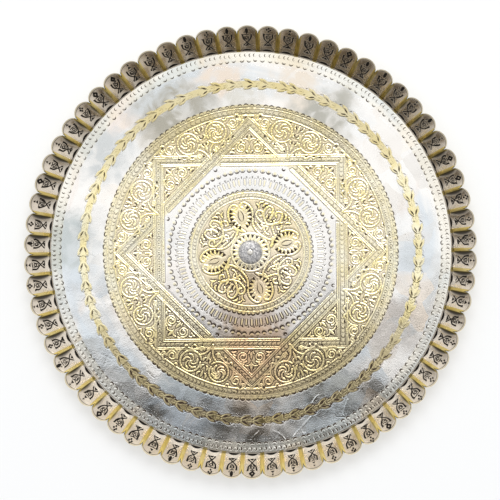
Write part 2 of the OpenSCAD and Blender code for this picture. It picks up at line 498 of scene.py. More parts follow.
# Each table holds half of its field: a stem is (points, width, lift), a volute is (centre, radius, start
# from outward, winding, turns, width), a leaf is (root, tip, bend) and a chip is (corners, sunk, dark)
OUTER_FIELD = {
    "wobble": 0.25, "full": 1.0, "whirl": (15.0, 124.0),
    "stems": (([(0.4, 100.5), (2.4, 107.5), (5.0, 111.8), (9.0, 114.8)], 0.85, 0.5),
              ([(17.6, 112.4), (23.2, 113.0), (27.6, 116.0), (29.6, 121.0), (28.6, 126.4)], 0.75, 0.45),
              ([(31.0, 119.6), (35.6, 118.2), (40.4, 120.6), (45.2, 124.4)], 0.7, 0.4)),
    "volutes": (((9.2, 108.6), 2.9, 90, 1, 1.1, 0.6), ((34.4, 125.6), 5.2, -70, -1, 1.6, 0.75),
                ((43.2, 127.4), 2.7, 90, 1, 1.1, 0.6)),
    "leaves": (((14.4, 107.6), (19.6, 109.8), -0.2), ((21.6, 110.8), (26.4, 113.0), -0.25),
               ((4.6, 135.0), (2.2, 129.6), 0.2), ((3.2, 127.0), (1.0, 122.0), 0.25),
               ((25.6, 133.2), (30.0, 132.4), -0.3), ((3.4, 119.2), (1.6, 114.4), 0.2),
               ((38.2, 131.0), (43.0, 131.2), 0.2), ((46.4, 127.4), (51.0, 126.4), 0.15)),
    "chips": (([(27.4, 112.0), (30.0, 115.4), (30.6, 112.6)], 0.25, 0.9),
              ([(9.8, 134.6), (13.0, 136.0), (8.6, 136.0)], 0.25, 0.9),
              ([(3.8, 105.0), (6.6, 105.8), (5.2, 107.8)], 0.25, 0.9)),
    "spikes": ((108.5, 117.5, 1.3), (128.0, 135.0, 1.1)),
}
POINT_FIELD = {
    "wobble": 0.2, "full": 0.85,
    "stems": (([(0.3, 111.5), (3.4, 113.4), (6.0, 113.0)], 0.6, 0.4),),
    "volutes": (((8.4, 104.6), 5.6, 40, -1, 1.7, 0.75),),
    "leaves": (((14.6, 99.0), (20.4, 99.2), 0.15), ((14.8, 103.4), (18.0, 101.4), 0.2),
               ((6.8, 111.6), (10.6, 110.4), 0.25), ((1.6, 98.6), (3.6, 101.6), 0.2)),
    "chips": (([(1.4, 114.0), (3.4, 115.4), (1.4, 117.6)], 0.2, 0.8),),
    "spikes": ((99.5, 106.5, 1.1), (109.5, 118.0, 1.15)),
}


def draw_great_circle():
    """The lines and punch rows that close the star's field."""
    ring_line(136.8, 0.7, 0.35, 0.9, 0.18)
    bead_row(140.5, 190, 1.4, gold=0.7, dark=1.0)
    ring_line(143.7, 0.45, 0.25, 0.8, 0.15)
    punch_ring(145.6, 142, 2.3, 0, 80, 0.72, gold=0.7)


def draw_wreath():
    """A laurel band: each pair of leaves holds the bud of the pair before it."""
    count = 65
    well.stroke(arc((0, 0), WREATH_R, 0, 360, 1.2), 3.3, gold=0.85)
    middle = np.array([0, WREATH_R])
    for k in range(count):
        move = placed(360 * (k + 0.12 * rng.normal()) / count, 0.15)
        grow = rng.uniform(0.92, 1.08)
        # The wreath's marks are wider and darker towards -Y, as painted shade.
        cut = shade_widening(move(middle)[0])
        fine, faint = 0.15 + 0.3 * cut, 0.7 * cut - 0.24

        def mark(points, width, hand=1, tip=1.0, **layers):
            path = curve(points) * (1, hand) + middle
            well.stroke(move(path), taper(len(path), width, tip), **layers)

        mark([(-0.2, 1.9), (-3.6, 2.5), (-6.4, 0), (-3.6, -2.5), (-0.2, -1.9)], fine, sunk=0.05, dark=faint)
        crease = line((-5.4, WREATH_R), (-2.2, WREATH_R), 1.1)
        well.stroke(move(crease), 0.34 * cut, sunk=0.1, dark=0.56 * cut)
        for hand in (-1, 1):
            mark([(0.4, 0.8), (4.4, 3.1), (9.8, 5.0)], 1.7 * grow, hand, 0.2, raised=0.13, gold=0.9)
            mark([(-0.6, 2.4), (2.6, 4.4), (7.0, 5.7), (10.6, 5.4)], fine, hand, sunk=0.02, dark=faint)
            mark([(6.6, 2.6), (8.6, 3.4), (10.6, 5.4)], fine, hand, sunk=0.05,
                 dark=rng.uniform(0.45, 0.85) * cut)
            mark([(1.3, 0.9), (3.7, 1.9), (6.6, 3.3)], 0.35 + 0.65 * cut, hand, 0.3, sunk=0.12,
                 dark=rng.uniform(0.6, 1.0) * (0.55 + 0.35 * cut))
            mark([(4.0, 3.4), (6.6, 4.4), (9.0, 4.9)], 0.26 * cut, hand, sunk=0.05, dark=0.55 * cut)
            mark([(-0.6, 2.6), (-3.2, 4.2), (-6.0, 3.6)], fine, hand, sunk=0.03, dark=0.54 * cut)
            gap = np.array([(10.9, 1.8), (13.0, 3.3), (10.9, 4.9)]) * (1, hand) + middle
            # Painted shade: a gap is dark only where the wreath lies towards -Y.
            well.facet(move(gap), sunk=0.15, dark=1.7 * (cut - 0.74))


def draw_scratches():
    """Long bright scratches in the plain bands, by (azimuth, radius) at each end, and short faint ones."""
    t = np.linspace(0, 1, 16)[:, None]
    for scratch in (((282.5, 189), (291, 173)), ((286.5, 189), (285.3, 184)), ((280, 190), (276.5, 180)),
                    ((269.5, 188), (272, 180)), ((291, 164), (295, 158)), ((299, 187), (303, 176))):
        start, end = (placed(azimuth)([(0, radius)])[0] for azimuth, radius in scratch)
        bend = (start + end) / 2 + rng.normal(size=2)
        well.stroke((1 - t) ** 3 * start + 3 * (1 - t) * t * bend + t ** 3 * end, 0.32, raised=0.12)
    for _ in range(150):
        azimuth, radius = rng.uniform(0, 360), rng.choice([64, 78, 155, 181]) + rng.uniform(-6, 6)
        start = placed(azimuth)([(0, radius)])[0]
        heading = rng.uniform(0, 2 * math.pi)
        end = start + rng.uniform(3, 14) * np.array([math.cos(heading), math.sin(heading)])
        well.stroke(line(start, end, 3), 0.2, sunk=0.05)


def draw_well():
    draw_sunburst()
    for k in range(4):
        draw_medallion(MEDALLION_AZIMUTH + 90 * k)
        draw_arabesque(MEDALLION_AZIMUTH + 90 * k)
    draw_border()
    draw_tongue_and_dart()
    punch_ring(82.4, 80, 2.5, 180, 85, 0.7, gold=0.5)
    for k in range(8):
        notch = 22.5 + 45 * k
        well.crescent(placed(notch)([(0, 89.4)])[0], 1.5, notch + 180, 110, 0.8)
        draw_field(notch, **OUTER_FIELD)
        draw_field(45 * k, **POINT_FIELD)
    draw_star()
    draw_great_circle()
    draw_wreath()
    punch_ring(192.4, 168, 1.9, 180, 80, 0.68, wobble=0.2)
    punch_ring(197.0, 250, 1.8, 90, 70, 0.58)
    draw_scratches()


# --- Surfaces of the well disc ---
# Spacing of the hammer blows, and the sheet's gentle bowing
WIDE_BLOWS, FINE_BLOWS = 19.0, 9.0
bow = wave_field(20, 45, 130, 7)


def hammer_marks(x, y, pitch, seed):
    """Squared distance to the nearest hammer blow, in pitches: shallow facets with crisp borders."""
    count = int(2 * WELL_R / pitch) + 5
    shift = np.random.default_rng(seed).uniform(0.0, 1.0, (count, count, 2))
    cx, cy = x / pitch + count / 2, y / pitch + count / 2
    ix, iy = np.floor(cx).astype(int), np.floor(cy).astype(int)
    nearest = np.inf
    for across in (-1, 0, 1):
        for up in (-1, 0, 1):
            jx, jy = np.clip(ix + across, 0, count - 1), np.clip(iy + up, 0, count - 1)
            away = (jx + shift[jx, jy, 0] - cx) ** 2 + (jy + shift[jx, jy, 1] - cy) ** 2
            nearest = np.minimum(nearest, away)
    return nearest


def star_distance(x, y):
    """Greater and lesser of the distances to the two squares' sides, from the centre, in units."""
    level = np.maximum(np.abs(x), np.abs(y))
    turned = np.maximum(np.abs(x + y), np.abs(x - y)) / math.sqrt(2)
    return np.maximum(level, turned), np.minimum(level, turned)


def chased_ground(x, y):
    """1 where the ground has been sunk and matted between the raised lines, 0 on plain metal."""
    r = np.hypot(x, y)
    far, near = star_distance(x, y)
    points = (near < STAR_IN) & (far > STAR_OUT)
    outer = (near > STAR_OUT) & (r < FIELD_R)
    rosette = (r > 19.8) & (r < 53.4)
    return (points | outer | rosette).astype(float)


def worn_brass(x, y):
    """How far the silver has worn off the brass, apart from the drawn lines."""
    r = np.hypot(x, y)
    star = smooth(STAR_IN - 1, STAR_IN + 1, star_distance(x, y)[0]) * (1 - smooth(147.5, 148.5, r))
    return 0.55 * star + 0.45 * (1 - smooth(61, 62.5, r)) + 0.15 * smooth(189.5, 190.5, r)


def seat_rise(r):
    """How far the disc's centre stands above its floor at radius r."""
    return SEAT_LIFT * (1 - np.clip((r - SEAT_R) / SKIRT_W, 0, 1))


def well_top(x, y):
    """Height of the disc's upper face and its colour layers, at points in millimetres."""
    r = np.hypot(x, y)
    ux, uy = x / UNIT, y / UNIT
    raised, sunk, shade, dark, gold = well.sample(ux, uy, *well.LAYERS)
    ground = chased_ground(ux, uy)
    hammer = 0.034 * hammer_marks(x, y, WIDE_BLOWS, 3) + 0.012 * hammer_marks(y, x, FINE_BLOWS, 4)
    live = smooth(SEAT_R, 40, r) * (1 - smooth(WELL_R - 6, WELL_R - 1, r))
    hammer = live * (hammer * (1 - 0.6 * ground) + 0.05 * bow(x, y))
    under = BOSS_R - 0.5
    chase = (0.5 * raised - 0.6 * sunk - 0.08 * ground) * smooth(under, under + 1.2, r)
    gold = np.maximum(gold, worn_brass(ux, uy))
    # Grime and painted shade in the grooves beside raised lines, with more painted shade towards -Y and
    # deeper within the rosette.
    groove_grime_and_shade = 0.52 + 0.33 * smooth(0.1, 0.9, -y / np.maximum(r, 1.0))
    groove_grime_and_shade = np.maximum(groove_grime_and_shade, 0.64 * smooth(64, 60, r))
    dark = np.maximum(dark, groove_grime_and_shade * shade * (1 - np.clip(raised / 0.15, 0, 1)))
    return FLOOR_TOP + seat_rise(r) + hammer + chase, gold, dark, ground


def well_bottom(x, y):
    """Height of the disc's underside, where the raised lines show faintly as hollows."""
    r = np.hypot(x, y)
    ghost, = well.sample(x / UNIT, y / UNIT, "raised")
    clear_of_solder = smooth(FLANGE_R - SOLDER_W, FLANGE_R - SOLDER_W - 3, r)
    return FLOOR_BOTTOM + seat_rise(r) + 0.35 * ghost * clear_of_solder * smooth(SEAT_R, SEAT_R + 2, r)


# --- Meshes ---
HEM = 0.03


def hemmed(first, last, count):
    """Evenly spaced stations with an extra one close to each end, so that edges shade crisply."""
    span = 1 if last > first else -1
    inner = np.linspace(first, last, count)[1:-1]
    return np.concatenate([[first, first + span * HEM], inner, [last - span * HEM, last]])


def tube_mesh(name, x, y, z, tones, closed, material):
    """A closed sheet-metal solid: rows run round the tray, columns round its cross-section. The tones are
    three values at each point, which the material reads."""
    points = np.stack([x, y, z], -1)
    rows, columns = points.shape[:2]
    i, j = np.arange(rows if closed else rows - 1)[:, None], np.arange(columns)[None, :]
    i2, j2 = (i + 1) % rows, (j + 1) % columns
    corners_of = (i * columns + j, i * columns + j2, i2 * columns + j2, i2 * columns + j)
    loops = np.stack(np.broadcast_arrays(*corners_of), -1).reshape(-1)
    starts = np.arange(len(loops) // 4) * 4
    if not closed:
        caps = [np.arange(columns)[::-1], (rows - 1) * columns + np.arange(columns)]
        starts = np.concatenate([starts, [len(loops), len(loops) + columns]])
        loops = np.concatenate([loops] + caps)
    mesh = bpy.data.meshes.new(name)
    mesh.vertices.add(rows * columns)
    mesh.vertices.foreach_set("co", (points.reshape(-1) * MM).astype(np.float32))
    mesh.loops.add(len(loops))
    mesh.loops.foreach_set("vertex_index", loops[::-1].astype(np.int32))
    ends = np.concatenate([starts[1:], [len(loops)]])
    mesh.polygons.add(len(starts))
    mesh.polygons.foreach_set("loop_start", (len(loops) - ends[::-1]).astype(np.int32))
    mesh.update(calc_edges=True)
    mesh.polygons.foreach_set("use_smooth", np.ones(len(starts), bool))
    tones = np.concatenate([tones, np.ones((rows, columns, 1))], -1)
    layer = mesh.color_attributes.new("tone", "FLOAT_COLOR", "POINT")
    layer.data.foreach_set("color", tones.reshape(-1).astype(np.float32))
    mesh.validate()
    mesh.materials.append(material)
    piece = bpy.data.objects.new(name, mesh)
    bpy.context.collection.objects.link(piece)
    return piece


def ring_sector(name, inner, outer, spacing, first, last, material):
    """One stretch of the disc between two radii and two azimuths."""
    full = last - first == 360
    rows = int(math.radians(last - first) * outer / spacing)
    if full:
        angles = np.radians(np.linspace(first, last, rows, endpoint=False))
    else:
        angles = hemmed(math.radians(first) * outer, math.radians(last) * outer, rows) / outer
    top_r = hemmed(inner, outer, max(4, int((outer - inner) / spacing)))
    low_r = hemmed(outer, inner, max(4, int((outer - inner) / (3 * spacing))))
    x, y = (f(angles)[:, None] * np.concatenate([top_r, low_r])[None, :] for f in (np.cos, np.sin))
    top, low = np.s_[:, :len(top_r)], np.s_[:, len(top_r):]
    z, tones = np.empty_like(x), np.zeros(x.shape + (3,))
    z[top], *layers = well_top(x[top], y[top])
    z[low] = well_bottom(x[low], y[low])
    tones[top] = np.stack(layers, -1)
    tones[low + (0,)] = DISC_BACK
    # Painted shade on the disc's outer edge wall.
    if outer == WELL_R:
        tones[:, len(top_r) - 1:len(top_r) + 1, 1] = 1
    return tube_mesh(name, x, y, z, tones, full, material)


def build_well(material):
    """The disc in nested rings, which meet on lines of the ornament: (radius, coarseness, sectors)."""
    made, low = [], BORE_R
    for number, (radius, coarse, sectors) in enumerate((
            (53.0, 1.0, 2), (98.0, 1.0, 3), (136.6, 1.0, 4), (162.0, 1.25, 2), (174.5, 1.0, 2),
            (187.0, 1.9, 1), (None, 1.0, 2))):
        high = radius * UNIT if radius else WELL_R
        for k in range(sectors):
            made.append(ring_sector(f"well_ring_{number + 1}_{k + 1}", low, high, GRID * coarse,
                                    360 * k / sectors, 360 * (k + 1) / sectors, material))
        low = high
    return made


# --- The fluted rim ---
# One flute's drawing, in units: half its width, its two ends and its grid's spacing
FLUTE_HALF, FLUTE_FOOT, FLUTE_END, FLUTE_STEP = 11, 201, 229, 0.2
# How much brass shows through on the undersides
DISC_BACK, RIM_BACK = 0.85, 0.9


def flute_motif(relief, grow, lean):
    """The black-filled engraving on one flute, with a painted shadow at its inner end, in units: across, and
    distance from the centre.
    """
    def move(path):
        path = np.asarray(path, float).reshape(-1, 2)
        out = 202.0 + (path[:, 1] - 202.0) * grow
        return np.stack([path[:, 0] * grow + lean * (out - 213) / 11, out], 1)

    def drawn(points, hand=1):
        """The points moved into place, each a little off, as a hand cuts them."""
        return move(np.array(points, float) * (hand, 1) + 0.22 * rng.normal(size=(len(points), 2)))

    black = {"sunk": 0.1, "dark": rng.uniform(0.88, 1.0)}
    # A painted shadow, partly black dirt, in a crescent at the flute's inner end, below the disc's edge.
    crescent = curve([(-6.0, 201.5), (-3.2, 202.2), (0, 202.4), (3.2, 202.2), (6.0, 201.5)])
    relief.stroke(crescent, taper(len(crescent), 1.35, 0.1), sunk=0.1, dark=0.95)
    relief.facet(drawn([(-2.5, 206.2), (2.5, 206.2), (0, 208.8)]), **black)
    for hand in (-1, 1):
        relief.stroke(drawn([(3.2, 207.2), (1.3, 209.0), (0, 210.2)], hand), 0.62, **black)
        relief.facet(drawn([(2.2, 206.8), (4.0, 206.4), (3.4, 208.6)], hand), **black)
        arm = curve(drawn([(-0.6, 209.6), (1.8, 211.4), (3.8, 213.5), (4.3, 216.4)], hand))
        relief.stroke(arm, np.linspace(0.5, 0.95, len(arm)), **black)
        relief.facet(drawn([(2.8, 217.4), (5.6, 217.8), (4.5, 214.9)], hand), **black)
        relief.stroke(curve(drawn([(0.4, 212.2), (2.0, 213.6), (2.2, 215.8)], hand)), 0.45, **black)
    relief.stroke(move(arc((0.1, 214.7), 1.15)), 0.5, **black)
    relief.stroke(drawn([(-2.1, 217.2), (0, 217.0), (2.1, 217.2)]), 0.5, **black)
    style = rng.integers(4)
    if style == 0:
        diamond = drawn([(0, 218.2), (2.1, 220.1), (0, 222.2), (-2.1, 220.1)])
        relief.stroke(np.concatenate([diamond, diamond[:1]]), 1.0, **black)
    elif style == 1:
        drop = line((0, 218.4), (0, 223.4), 0.8)
        relief.stroke(move(drop), taper(len(drop), 1.8, 0.2), **black)
        for hand in (-1, 1):
            relief.facet(drawn([(1.9, 218.2), (3.5, 218.9), (2.0, 220.8)], hand), **black)
    elif style == 2:
        relief.facet(drawn([(-2.1, 218.4), (2.1, 218.4), (0, 221.0)]), **black)
        relief.facet(drawn([(-1.5, 221.2), (1.5, 221.2), (0, 223.6)]), **black)
    else:
        for dot in ((0, 219.2), (-1.5, 220.9), (1.5, 220.9), (0, 222.6)):
            relief.stroke(spot(drawn([dot, dot])[0]), 1.05, **black)
    for _ in range(6):
        start = np.array([rng.uniform(-6, 6), rng.uniform(205, 220)])
        relief.stroke(line(start, start + rng.normal(size=2) * 2.0, 2), 0.22, sunk=0.06, dark=0.35)


def rim_top(r, s):
    """The same surface as the CAD rim, at radius r and position s across a flute."""
    u = np.clip((r - FLUTE_START) / (TIP_R - FLUTE_START), 0, 1)
    ridge = RIDGE_H * np.sin(np.pi / 2 * np.minimum(1, u / RIDGE_RUN)) * (1 - u ** RIDGE_FADE)
    scoop = np.sin(np.pi / 2 * np.abs(s) ** SCOOP_POWER) ** 2
    return SHEET + (TRAY_H - SHEET) * u ** RISE_POWER + ridge * scoop


def engraved(top_r, s, across_steps, count):
    """Depth and blackness of the engraving and of the painted crescent shadow on a run of flutes, at radii
    top_r and positions s.
    """
    sunk, dark = np.zeros_like(top_r), np.zeros_like(top_r)
    for k in range(count):
        part = slice(k * across_steps, (k + 1) * across_steps + (1 if k == count - 1 else 0))
        relief = Relief((-FLUTE_HALF, FLUTE_FOOT), (FLUTE_HALF, FLUTE_END), FLUTE_STEP)
        flute_motif(relief, rng.uniform(0.96, 1.08), 0.5 * rng.normal())
        across = s[part] * top_r[part] * math.radians(360 / FLUTES) / 2 / UNIT
        wander = 0.35 * rng.normal()
        sunk[part], dark[part] = relief.sample(across + wander, top_r[part] / UNIT, "sunk", "dark")
    live = top_r > FLUTE_START
    return sunk * live, dark * live


def rim_dirt_and_shade(top_r, edge, s, angle):
    """Painted shadow, partly black dirt, in the crevice at the disc's edge; painted shade on the flutes'
    walls that face -Y, in the notches' corners and towards the tips; and a dark line just inside the edge.
    """
    crevice_shadow_and_dirt = 0.5 * smooth(FLUTE_START + 0.8, FLUTE_START + 0.4, top_r)
    along = np.clip((top_r - FLUTE_START) / (edge - FLUTE_START), 0, 1)
    border = 0.22 + 0.36 * (2 * along - 1) ** 2
    # Painted shade on the wall of each flute that faces -Y.
    upper_wall_shade = 0.78 * smooth(0.0, 0.46, s * np.cos(angle) - border) * smooth(0.98, 0.88, np.abs(s))
    upper_wall_shade = upper_wall_shade * smooth(FLUTE_START, FLUTE_START + 3, top_r)
    # Painted shade in the corners of the notches between flutes.
    corner = 0.8 * smooth(0.84, 0.94, np.abs(s)) * smooth(4.2, 0.8, edge - top_r)
    # Painted shade towards each flute's tip.
    tip_shade = 0.24 * smooth(7.0, 2.0, edge - top_r)
    outline = 0.75 * np.exp(-((edge - top_r - 1.7) / 0.55) ** 2)
    return np.maximum.reduce([crevice_shadow_and_dirt, upper_wall_shade, corner, tip_shade, outline])


def build_flutes(first, count, material):
    """A run of neighbouring flutes as one solid, cut at ridges."""
    across_steps, out_steps = ((48, 62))
    flange_steps, under_steps = 4, 16
    step = np.arange(count * across_steps + 1)
    s = (-1 + 2 * (step % across_steps) / across_steps)[:, None]
    s[-1] = 1
    angle = np.radians((first + step / across_steps) * 360 / FLUTES)[:, None]
    edge = TIP_R - HEM - NOTCH_DEPTH + NOTCH_DEPTH * np.sqrt(np.clip(1 - s * s, 0, 1))
    flange_r = np.repeat(hemmed(FLANGE_R, FLUTE_START, flange_steps)[None, :-2], len(s), 0)
    top_r = np.concatenate([flange_r, FLUTE_START + (edge - FLUTE_START) * np.linspace(0, 1, out_steps)], 1)
    top_r = np.insert(top_r, -1, top_r[:, -1] - HEM, 1)
    low_r = np.concatenate([FLUTE_START + (edge - FLUTE_START) * np.linspace(1, 0, under_steps),
                            flange_r[:, ::-1]], 1)
    low_r = np.insert(low_r, 1, low_r[:, 0] - HEM, 1)

    sunk, dark = engraved(top_r, s, across_steps, count)
    crest = np.clip((np.abs(s) - 0.8) / 0.2, 0, 1)
    grow = smooth(FLUTE_START, FLUTE_START + 3, top_r) * smooth(0, 2, edge - top_r)
    top_z = np.where(top_r < FLUTE_START, SHEET, rim_top(top_r, s)) - sunk
    top_z = np.minimum(top_z + 0.22 * np.sqrt(1 - (1 - crest) ** 2) * grow, TRAY_H)
    sloped = smooth(0, 2.5, low_r - FLUTE_START)
    low_z = rim_top(low_r, s) - SLOPE_SHEET * sloped - SHEET * (1 - sloped)
    low_z = np.maximum(np.where(low_r <= FLUTE_START, 0.0, low_z), 0)

    r, z = np.concatenate([top_r, low_r], 1), np.concatenate([top_z, low_z], 1)
    tones, split = np.zeros(r.shape + (3,)), top_r.shape[1]
    tones[:, :split, 0] = smooth(0.77, 0.80, np.abs(s))
    tones[:, :split, 1] = np.maximum(dark, rim_dirt_and_shade(top_r, edge, s, angle))
    tones[:, :split, 2] = smooth(1.5, 1.0, edge - top_r)
    tones[:, split:, 0] = RIM_BACK
    name = f"rim_flutes_{first + 1}_to_{first + count}"
    return tube_mesh(name, r * np.cos(angle), r * np.sin(angle), z, tones, False, material)


# The boss's mesh, and the depth of the pits in its skin
DOME_STEPS, TURN_STEPS = 44, 260
PIT_DEPTH = 0.13


def build_boss(material):
    """The cast boss: a low dome with a dimple, its skin pitted."""
    dimple_z = BOSS_TOP - DIMPLE_DEPTH
    rise = BOSS_TOP - SEAT_Z - BOSS_SIDE
    lean = np.linspace(0, math.acos(DIMPLE_R / BOSS_R), DOME_STEPS)
    dome = np.stack([BOSS_R * np.cos(lean), SEAT_Z + BOSS_SIDE + rise * np.sin(lean)], 1)
    dimple = [(RIVET_R + 0.2, dimple_z), (RIVET_R, dimple_z), (BORE_R, dimple_z)]
    foot = [(BORE_R, SEAT_Z), (BOSS_R - HEM, SEAT_Z), (BOSS_R, SEAT_Z)]
    r, z = np.concatenate([foot, dome, dimple])[::-1].T
    angle = np.linspace(0, 2 * np.pi, TURN_STEPS, endpoint=False)[:, None]
    x, y = r * np.cos(angle), r * np.sin(angle)
    skin = np.zeros(len(r))
    skin[len(dimple):len(dimple) + len(dome) - 1] = 1
    large, small = wave_field(40, 1.2, 5.0, 11)(x, y), wave_field(30, 0.7, 1.6, 12)(x, y)
    pits = (np.clip(large, 0, 1.5) + 0.6 * np.clip(small, 0, 1)) * skin
    tones = np.zeros(x.shape + (3,))
    tones[..., 0] = np.clip(pits, 0, 1)
    return tube_mesh("boss_dome", x, y, z - PIT_DEPTH * pits, tones, True, material)


# --- Materials ---
class Nodes:
    """Short calls for building a node tree."""

    def __init__(self, owner):
        owner.use_nodes = True
        self.owner, self.tree = owner, owner.node_tree
        self.tree.nodes.clear()

    def feed(self, node, inputs):
        """Links a socket, or sets a value, on each of the node's inputs."""
        for key, value in dict(inputs).items():
            if isinstance(value, bpy.types.NodeSocket):
                self.tree.links.new(value, node.inputs[key])
            else:
                node.inputs[key].default_value = value

    def add(self, kind, inputs=(), **settings):
        node = self.tree.nodes.new("ShaderNode" + kind)
        for key, value in settings.items():
            setattr(node, key, value)
        self.feed(node, inputs)
        return node

    def math(self, operation, *values):
        return self.add("Math", enumerate(values), operation=operation).outputs[0]

    def times(self, a, b):
        return self.math("MULTIPLY", a, b)

    def vector(self, operation, *values):
        node = self.add("VectorMath", enumerate(values), operation=operation)
        return node.outputs["Value" if operation in ("LENGTH", "DISTANCE") else "Vector"]

    def mix(self, factor, a, b):
        return self.add("Mix", {0: factor, 6: a, 7: b}, data_type="RGBA").outputs[2]

    def blend(self, factor, a, b):
        return self.add("Mix", {0: factor, 2: a, 3: b}, data_type="FLOAT").outputs[0]

    def band(self, value, low, high, out_low=0.0, out_high=1.0):
        """A smooth step from out_low to out_high while the value goes from low to high."""
        limits = {"Value": value, "From Min": low, "From Max": high, "To Min": out_low, "To Max": out_high}
        return self.add("MapRange", limits, interpolation_type="SMOOTHSTEP").outputs["Result"]

    def swept(self):
        """Coordinates drawn out round the tray, for smears that follow its rings."""
        flat = self.vector("MULTIPLY", self.coords, (1, 1, 0))
        heading = self.vector("NORMALIZE", flat)
        squeezed = self.add("VectorMath", {0: heading, "Scale": 0.08}, operation="SCALE")
        height = self.add("CombineXYZ", {2: self.vector("LENGTH", flat)})
        return self.vector("ADD", squeezed.outputs[0], height.outputs[0])

    def shaken(self, amount):
        """Coordinates shifted about by a coarse noise."""
        wave = self.add("TexNoise", {"Scale": 45.0, "Detail": 4.0, "Vector": self.coords})
        centred = self.vector("SUBTRACT", wave.outputs["Color"], (0.5, 0.5, 0.5))
        return self.vector("MULTIPLY_ADD", centred, (amount, amount, 0), self.coords)

    def near(self, coords, azimuth, reach, size):
        """1 within a spot on the tray and 0 beyond its size."""
        turn = math.radians(azimuth)
        centre = (reach * math.cos(turn), reach * math.sin(turn), 0)
        return self.band(self.vector("DISTANCE", coords, centre), size, 0.35 * size)

    def noise(self, scale, detail=2.0, distortion=0.0, offset=0.0, coords=None):
        coords = coords or self.coords
        if offset:
            coords = self.vector("ADD", coords, (offset, -offset, offset))
        look = {"Scale": scale, "Detail": detail, "Distortion": distortion, "Vector": coords}
        return self.add("TexNoise", look).outputs["Fac"]

    def tones(self):
        """The three values that the mesh's points carry."""
        tone = self.add("Attribute", attribute_name="tone").outputs["Color"]
        return self.add("SeparateColor", {0: tone}).outputs[:3]

    def place(self):
        """The X, Y and Z of a point, and its distance from the tray's centre."""
        parts = self.add("SeparateXYZ", {0: self.coords}).outputs
        return parts["X"], parts["Y"], self.vector("LENGTH", self.coords)

    def finish(self, colour, metallic, roughness, bump, strength, distance):
        """Feeds the shader, with a bump from a height, and gives the material."""
        relief = self.add("Bump", {"Strength": strength, "Distance": distance, "Height": bump})
        self.feed(self.shader, {"Base Color": colour, "Metallic": metallic, "Roughness": roughness,
                                "Normal": relief.outputs[0]})
        return self.owner


def surface(name):
    """The nodes of a new material with a shader."""
    n = Nodes(bpy.data.materials.new(name))
    n.shader = n.add("BsdfPrincipled")
    n.add("OutputMaterial", {"Surface": n.shader.outputs[0]})
    n.coords = n.add("TexCoord").outputs["Object"]
    return n


SILVER = (0.92, 0.90, 0.87, 1)
COOL_SILVER = (0.70, 0.75, 0.79, 1)
PINK_SILVER = (0.84, 0.74, 0.67, 1)
GREY_SILVER = (0.62, 0.62, 0.60, 1)
BLUE_SILVER = (0.60, 0.68, 0.75, 1)
TAN_SILVER = (0.86, 0.75, 0.63, 1)
MATTED = (0.84, 0.74, 0.68, 1)
BRASS = (0.91, 0.76, 0.28, 1)
PALE_BRASS = (0.96, 0.87, 0.52, 1)
SHEEN_PALE_BRASS = (0.98, 0.95, 0.82, 1)
OLIVE = (0.50, 0.41, 0.22, 1)
COPPER = (0.66, 0.45, 0.27, 1)
EDGE_BRASS = (0.68, 0.61, 0.46, 1)
# The rim's dark tone: black fill, dirt and painted shade.
SOOT_AND_SHADE = (0.012, 0.010, 0.008, 1)
# The well's dark tone: black fill, grime and painted shade in the grooves.
GRIME_AND_SHADE = (0.045, 0.030, 0.020, 1)
# How glossy dirt is
DIRT_GLOSS = 0.12
EDGE_ROWS = 190.3 * UNIT * MM
# Stains by azimuth, distance from the centre, reach in metres and colour
COPPER_SPOT = (270, 0.53 * WELL_R * MM, 0.052)
BROWN_SPOT = (272, 0.2 * WELL_R * MM, 0.05)
STAINS = ((270, 0.36 * WELL_R * MM, 0.056, (0.46, 0.385, 0.325, 1)),
          (118, 0.155, 0.058, (0.42, 0.40, 0.34, 1)),
          (62, 0.152, 0.048, (0.47, 0.46, 0.41, 1)), (176, 0.190, 0.046, (0.54, 0.58, 0.58, 1)),
          (146, 0.180, 0.040, (0.62, 0.64, 0.64, 1)), (100, 0.178, 0.030, (0.80, 0.70, 0.60, 1)),
          (75, 0.180, 0.034, (0.80, 0.72, 0.62, 1)), (334, 0.158, 0.036, (0.66, 0.62, 0.58, 1)),
          (246, 0.179, 0.050, (0.70, 0.77, 0.84, 1)), (294, 0.179, 0.050, (0.70, 0.76, 0.80, 1)),
          (241, 0.153, 0.032, (0.55, 0.60, 0.63, 1)), (301, 0.153, 0.032, (0.66, 0.68, 0.66, 1)),
          (92, 0.155, 0.030, (0.70, 0.68, 0.62, 1)))


def tarnished_silver(n, y, reach):
    """Silver with smears, patches and stains of tarnish."""
    outer = n.band(reach, 0.075, 0.125, 0.2, 1.0)
    cool = n.times(outer, n.band(n.noise(16, 4, 1.0, 0, n.swept()), 0.46, 0.64, 0, 0.9))
    pink = n.times(outer, n.band(n.noise(22, 3, 1.2, 5.0, n.swept()), 0.54, 0.70, 0, 0.8))
    silver = n.mix(pink, n.mix(cool, SILVER, COOL_SILVER), PINK_SILVER)
    patch = n.add("TexVoronoi", {"Scale": 34.0, "Vector": n.shaken(0.012)})
    tints = n.add("SeparateColor", {0: patch.outputs["Color"]}).outputs
    lower = n.times(outer, n.band(y, 0.06, -0.08, 0.3, 1.0))
    lower = n.times(lower, n.band(n.noise(28, 4, 0.8, 7.0), 0.36, 0.6, 0.25, 1.0))
    for tint, low, high, amount, colour in ((0, 0.60, 0.80, 0.6, BLUE_SILVER),
                                            (1, 0.70, 0.76, 0.8, TAN_SILVER),
                                            (2, 0.62, 0.85, 0.6, GREY_SILVER)):
        share = n.times(lower, n.band(tints[tint], low, high, 0, amount))
        silver = n.mix(share, silver, colour)
    blotch = n.shaken(0.05)
    for azimuth, out, size, colour in STAINS:
        cloud = n.band(n.noise(50, 4, 1.0, out), 0.35, 0.55, 0.5, 1)
        silver = n.mix(n.times(n.near(blotch, azimuth, out, size), cloud), silver, colour)
    return silver


